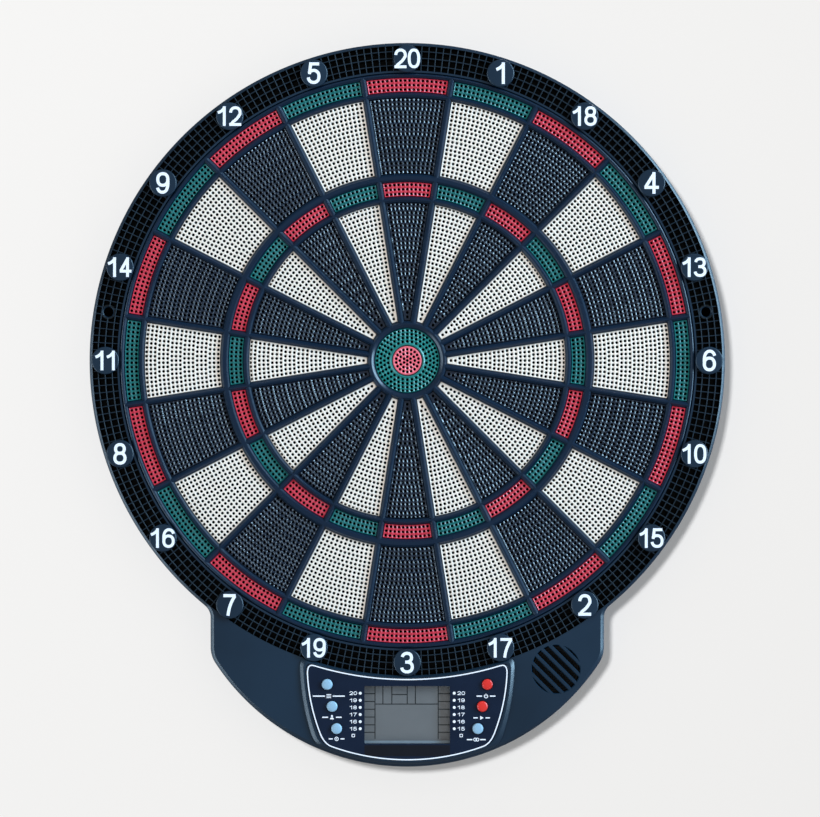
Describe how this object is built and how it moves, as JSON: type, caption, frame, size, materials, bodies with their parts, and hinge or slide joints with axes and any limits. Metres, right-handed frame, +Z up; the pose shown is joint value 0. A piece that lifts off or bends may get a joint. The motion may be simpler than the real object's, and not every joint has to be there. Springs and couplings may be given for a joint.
{
  "type": "electronic dartboard",
  "caption": "Wall-hung electronic dartboard: round rim with a numbered catch ring, sprung target segments in a web, and a chin with display, buttons, speaker slots and battery tray.",
  "frame": {"origin": "on the wall plane, straight behind the centre of the bull", "axes": "+Z up as the board hangs, +Y into the wall, so the target faces -Y; +X to the player's right"},
  "size_m": [0.4386, 0.0324, 0.4999],
  "materials": {
    "housing": "fine satin grain",
    "cover": "fine matt grain",
    "segment_black": "semi-gloss, pierced by holes",
    "segment_cream": "satin, pierced by holes",
    "segment_red": "semi-gloss, pierced by holes",
    "segment_green": "semi-gloss, pierced by holes",
    "panel_print": "printed overlay with a pale pinstripe",
    "button_blue": "satin",
    "button_red": "satin",
    "mat_rubber": "matt",
    "silicone": "matt",
    "film": "printed film",
    "display": "grey glass with fine printed lines",
    "window": "clear",
    "circuit_board": "solder resist",
    "wire": "smooth sleeve",
    "cell_sleeve": "printed sleeve",
    "steel": "plated"
  },
  "bodies": {
    "housing_body": {"front_housing": "housing", "spider": "housing", "rear_cover": "cover", "rubber_mat": "mat_rubber", "switch_matrix": "film", "matrix_ribbon": "film", "control_panel": "panel_print", "display_window": "window", "display_module": "display", "display_strip": "silicone", "main_board": "circuit_board", "keypad_mat_left": "silicone", "keypad_mat_right": "silicone", "speaker": "mat_rubber", "speaker_lead": "wire", "battery_lead": "wire", "battery_cell_1": "cell_sleeve", "battery_cell_2": "cell_sleeve", "battery_cell_3": "cell_sleeve", "contact_plus": "steel", "contact_link_right": "steel", "contact_link_left": "steel", "contact_minus": "steel", "cover_screw_1": "steel", "cover_screw_2": "steel", "cover_screw_3": "steel", "cover_screw_4": "steel", "cover_screw_5": "steel", "cover_screw_6": "steel", "cover_screw_7": "steel", "cover_screw_8": "steel"},
    "sector_20": {"sector_20": "segment_black"},
    "sector_1": {"sector_1": "segment_cream"},
    "sector_18": {"sector_18": "segment_black"},
    "sector_4": {"sector_4": "segment_cream"},
    "sector_13": {"sector_13": "segment_black"},
    "sector_6": {"sector_6": "segment_cream"},
    "sector_10": {"sector_10": "segment_black"},
    "sector_15": {"sector_15": "segment_cream"},
    "sector_2": {"sector_2": "segment_black"},
    "sector_17": {"sector_17": "segment_cream"},
    "sector_3": {"sector_3": "segment_black"},
    "sector_19": {"sector_19": "segment_cream"},
    "sector_7": {"sector_7": "segment_black"},
    "sector_16": {"sector_16": "segment_cream"},
    "sector_8": {"sector_8": "segment_black"},
    "sector_11": {"sector_11": "segment_cream"},
    "sector_14": {"sector_14": "segment_black"},
    "sector_9": {"sector_9": "segment_cream"},
    "sector_12": {"sector_12": "segment_black"},
    "sector_5": {"sector_5": "segment_cream"},
    "bull_outer": {"bull_outer": "segment_green"},
    "bull_inner": {"bull_inner": "segment_red"},
    "mode_button": {"mode_button": "button_blue"},
    "player_button": {"player_button": "button_blue"},
    "game_button": {"game_button": "button_blue"},
    "power_button": {"power_button": "button_red"},
    "start_button": {"start_button": "button_red"},
    "double_button": {"double_button": "button_blue"},
    "battery_door": {"battery_door": "cover"}
  },
  "joints": [
    {"name": "sector_20_press", "type": "slide", "parent": "housing_body", "child": "sector_20", "axis": [0, 1, 0], "range_m": [0, 0.001], "stiffness_N_per_m": 800, "springref_m": -0.0008},
    {"name": "sector_1_press", "type": "slide", "parent": "housing_body", "child": "sector_1", "axis": [0, 1, 0], "range_m": [0, 0.001], "stiffness_N_per_m": 800, "springref_m": -0.0008},
    {"name": "sector_18_press", "type": "slide", "parent": "housing_body", "child": "sector_18", "axis": [0, 1, 0], "range_m": [0, 0.001], "stiffness_N_per_m": 800, "springref_m": -0.0008},
    {"name": "sector_4_press", "type": "slide", "parent": "housing_body", "child": "sector_4", "axis": [0, 1, 0], "range_m": [0, 0.001], "stiffness_N_per_m": 800, "springref_m": -0.0008},
    {"name": "sector_13_press", "type": "slide", "parent": "housing_body", "child": "sector_13", "axis": [0, 1, 0], "range_m": [0, 0.001], "stiffness_N_per_m": 800, "springref_m": -0.0008},
    {"name": "sector_6_press", "type": "slide", "parent": "housing_body", "child": "sector_6", "axis": [0, 1, 0], "range_m": [0, 0.001], "stiffness_N_per_m": 800, "springref_m": -0.0008},
    {"name": "sector_10_press", "type": "slide", "parent": "housing_body", "child": "sector_10", "axis": [0, 1, 0], "range_m": [0, 0.001], "stiffness_N_per_m": 800, "springref_m": -0.0008},
    {"name": "sector_15_press", "type": "slide", "parent": "housing_body", "child": "sector_15", "axis": [0, 1, 0], "range_m": [0, 0.001], "stiffness_N_per_m": 800, "springref_m": -0.0008},
    {"name": "sector_2_press", "type": "slide", "parent": "housing_body", "child": "sector_2", "axis": [0, 1, 0], "range_m": [0, 0.001], "stiffness_N_per_m": 800, "springref_m": -0.0008},
    {"name": "sector_17_press", "type": "slide", "parent": "housing_body", "child": "sector_17", "axis": [0, 1, 0], "range_m": [0, 0.001], "stiffness_N_per_m": 800, "springref_m": -0.0008},
    {"name": "sector_3_press", "type": "slide", "parent": "housing_body", "child": "sector_3", "axis": [0, 1, 0], "range_m": [0, 0.001], "stiffness_N_per_m": 800, "springref_m": -0.0008},
    {"name": "sector_19_press", "type": "slide", "parent": "housing_body", "child": "sector_19", "axis": [0, 1, 0], "range_m": [0, 0.001], "stiffness_N_per_m": 800, "springref_m": -0.0008},
    {"name": "sector_7_press", "type": "slide", "parent": "housing_body", "child": "sector_7", "axis": [0, 1, 0], "range_m": [0, 0.001], "stiffness_N_per_m": 800, "springref_m": -0.0008},
    {"name": "sector_16_press", "type": "slide", "parent": "housing_body", "child": "sector_16", "axis": [0, 1, 0], "range_m": [0, 0.001], "stiffness_N_per_m": 800, "springref_m": -0.0008},
    {"name": "sector_8_press", "type": "slide", "parent": "housing_body", "child": "sector_8", "axis": [0, 1, 0], "range_m": [0, 0.001], "stiffness_N_per_m": 800, "springref_m": -0.0008},
    {"name": "sector_11_press", "type": "slide", "parent": "housing_body", "child": "sector_11", "axis": [0, 1, 0], "range_m": [0, 0.001], "stiffness_N_per_m": 800, "springref_m": -0.0008},
    {"name": "sector_14_press", "type": "slide", "parent": "housing_body", "child": "sector_14", "axis": [0, 1, 0], "range_m": [0, 0.001], "stiffness_N_per_m": 800, "springref_m": -0.0008},
    {"name": "sector_9_press", "type": "slide", "parent": "housing_body", "child": "sector_9", "axis": [0, 1, 0], "range_m": [0, 0.001], "stiffness_N_per_m": 800, "springref_m": -0.0008},
    {"name": "sector_12_press", "type": "slide", "parent": "housing_body", "child": "sector_12", "axis": [0, 1, 0], "range_m": [0, 0.001], "stiffness_N_per_m": 800, "springref_m": -0.0008},
    {"name": "sector_5_press", "type": "slide", "parent": "housing_body", "child": "sector_5", "axis": [0, 1, 0], "range_m": [0, 0.001], "stiffness_N_per_m": 800, "springref_m": -0.0008},
    {"name": "bull_outer_press", "type": "slide", "parent": "housing_body", "child": "bull_outer", "axis": [0, 1, 0], "range_m": [0, 0.001], "stiffness_N_per_m": 500, "springref_m": -0.0008},
    {"name": "bull_inner_press", "type": "slide", "parent": "housing_body", "child": "bull_inner", "axis": [0, 1, 0], "range_m": [0, 0.001], "stiffness_N_per_m": 500, "springref_m": -0.0008},
    {"name": "mode_button_press", "type": "slide", "parent": "housing_body", "child": "mode_button", "axis": [0, 1, 0], "range_m": [0, 0.001], "stiffness_N_per_m": 500, "springref_m": -0.0008},
    {"name": "player_button_press", "type": "slide", "parent": "housing_body", "child": "player_button", "axis": [0, 1, 0], "range_m": [0, 0.001], "stiffness_N_per_m": 500, "springref_m": -0.0008},
    {"name": "game_button_press", "type": "slide", "parent": "housing_body", "child": "game_button", "axis": [0, 1, 0], "range_m": [0, 0.001], "stiffness_N_per_m": 500, "springref_m": -0.0008},
    {"name": "power_button_press", "type": "slide", "parent": "housing_body", "child": "power_button", "axis": [0, 1, 0], "range_m": [0, 0.001], "stiffness_N_per_m": 500, "springref_m": -0.0008},
    {"name": "start_button_press", "type": "slide", "parent": "housing_body", "child": "start_button", "axis": [0, 1, 0], "range_m": [0, 0.001], "stiffness_N_per_m": 500, "springref_m": -0.0008},
    {"name": "double_button_press", "type": "slide", "parent": "housing_body", "child": "double_button", "axis": [0, 1, 0], "range_m": [0, 0.001], "stiffness_N_per_m": 500, "springref_m": -0.0008},
    {"name": "battery_door_hinge", "type": "hinge", "parent": "housing_body", "child": "battery_door", "pos_m": [0, -0.00115, -0.22335], "axis": [1, 0, 0], "range_deg": [0, 75]}
  ]
}
